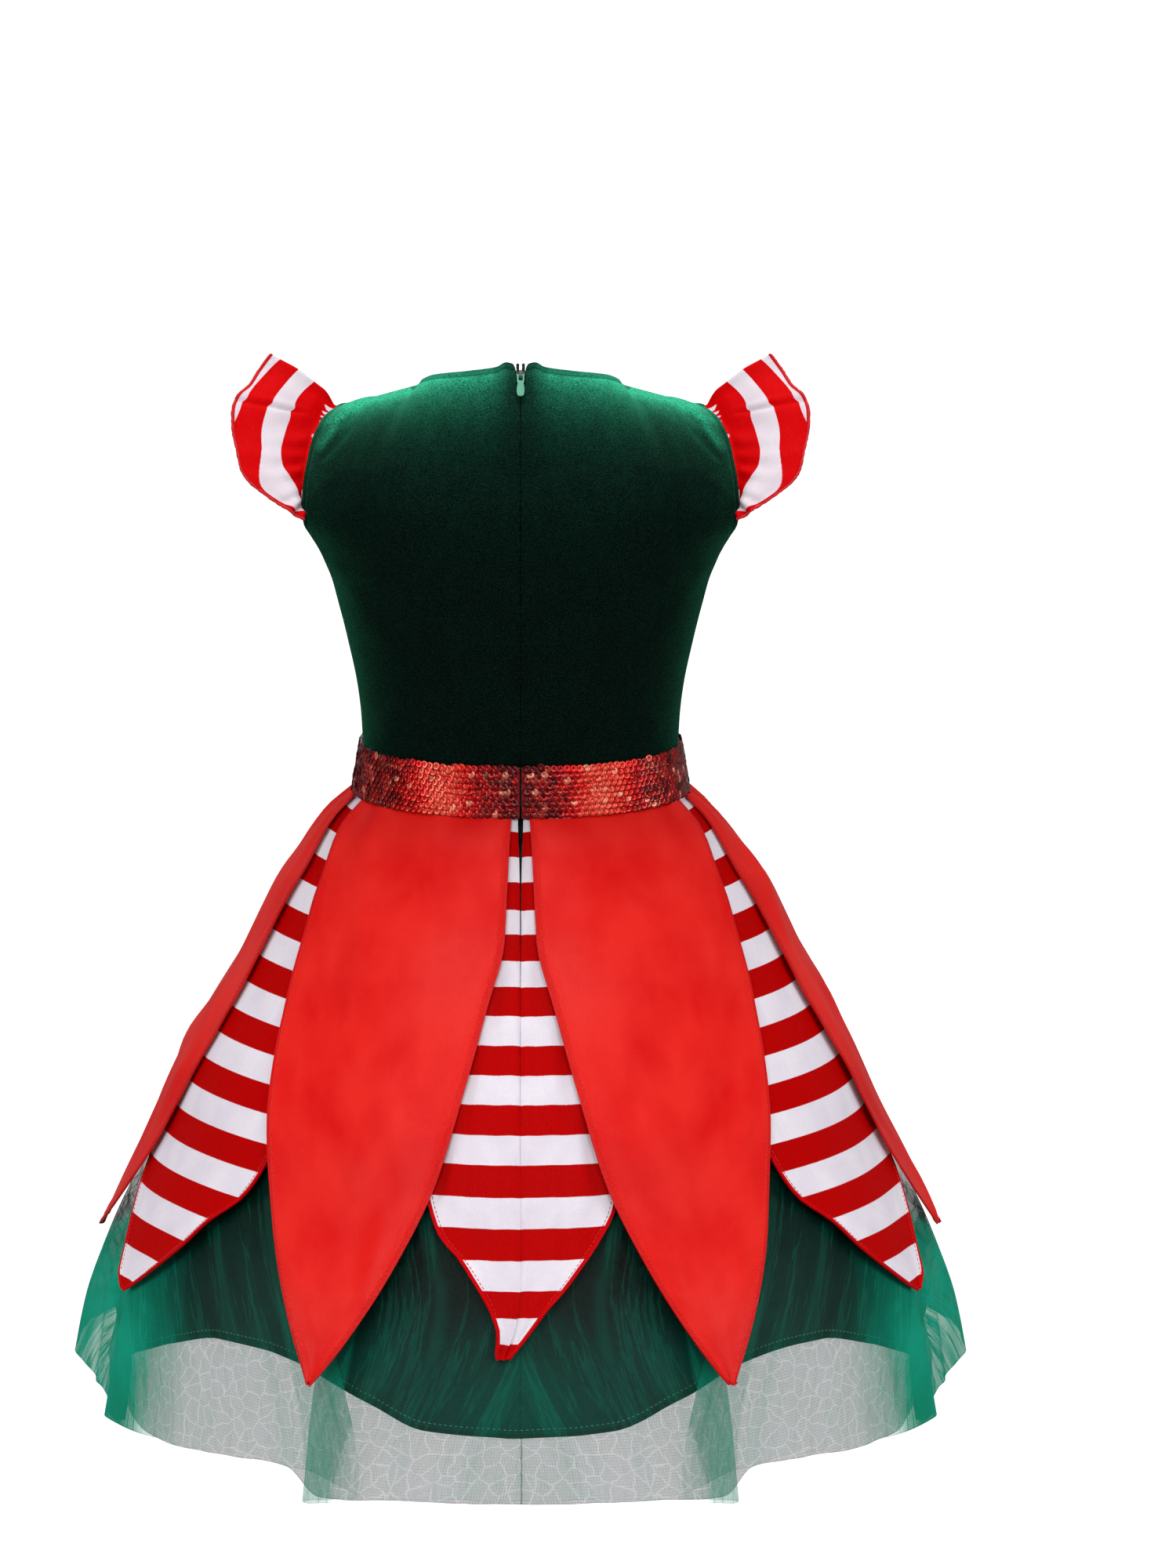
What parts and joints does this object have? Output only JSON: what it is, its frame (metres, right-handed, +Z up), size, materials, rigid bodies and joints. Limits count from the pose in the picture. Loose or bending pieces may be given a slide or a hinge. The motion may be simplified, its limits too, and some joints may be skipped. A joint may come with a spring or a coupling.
{
  "type": "elf costume",
  "caption": "Girl's elf dress, worn and hollow: velvet bodice, striped frill sleeves, sequinned waistband, petal overskirt over tulle, satin and net.",
  "frame": {"origin": "middle of the neck opening, level with the side neck points, where the wearer's shoulders hold the dress", "axes": "+X the wearer's right, +Y the wearer's front, +Z up"},
  "size_m": [0.523, 0.5152, 0.5956],
  "materials": {
    "green_velvet": "short-pile velvet, near black face on, bright green at its turning edges",
    "red_satin": "polyester satin, soft sheen",
    "striped_satin": "satin in even stripes of red and white, the mean of the two stated here",
    "red_sequins": "overlapping metallic red sequins on red cloth",
    "green_tulle": "fine hexagonal tulle, see-through",
    "green_satin": "dull satin underskirt",
    "grey_net": "stiff grey-white net, see-through",
    "zip_cloth": "woven zip tape and nylon chain",
    "green_paint": "green enamel on zinc"
  },
  "bodies": {
    "dress": {"bodice_front": "green_velvet", "bodice_back_left": "green_velvet", "bodice_back_right": "green_velvet", "sleeve_left": "striped_satin", "sleeve_right": "striped_satin", "petal_stripe_back_left_half": "striped_satin", "petal_stripe_back_right_half": "striped_satin", "petal_stripe_side_left": "striped_satin", "petal_stripe_side_right": "striped_satin", "petal_stripe_front_left": "striped_satin", "petal_stripe_front_right": "striped_satin", "petal_stripe_front": "striped_satin", "waistband_front": "red_sequins", "waistband_back_left": "red_sequins", "waistband_back_right": "red_sequins", "petal_red_back_left": "red_satin", "petal_red_back_right": "red_satin", "petal_red_side_left": "red_satin", "petal_red_side_right": "red_satin", "petal_red_front_left": "red_satin", "petal_red_front_right": "red_satin", "satin_front": "green_satin", "satin_back_left": "green_satin", "satin_back_right": "green_satin", "tulle_front": "green_tulle", "tulle_back_left": "green_tulle", "tulle_back_right": "green_tulle", "net_front": "grey_net", "net_back_left": "grey_net", "net_back_right": "grey_net", "zip_tape_left": "zip_cloth", "zip_tape_right": "zip_cloth", "zip_chain": "zip_cloth", "zip_slider": "green_paint"},
    "pull_tab": {"zip_pull_tab": "green_paint"}
  },
  "joints": [
    {"name": "pull_tab_swing", "type": "hinge", "parent": "dress", "child": "pull_tab", "pos_m": [0, -0.05313, 0.01162], "axis": [-1, 0, 0], "range_deg": [0, 170]}
  ]
}
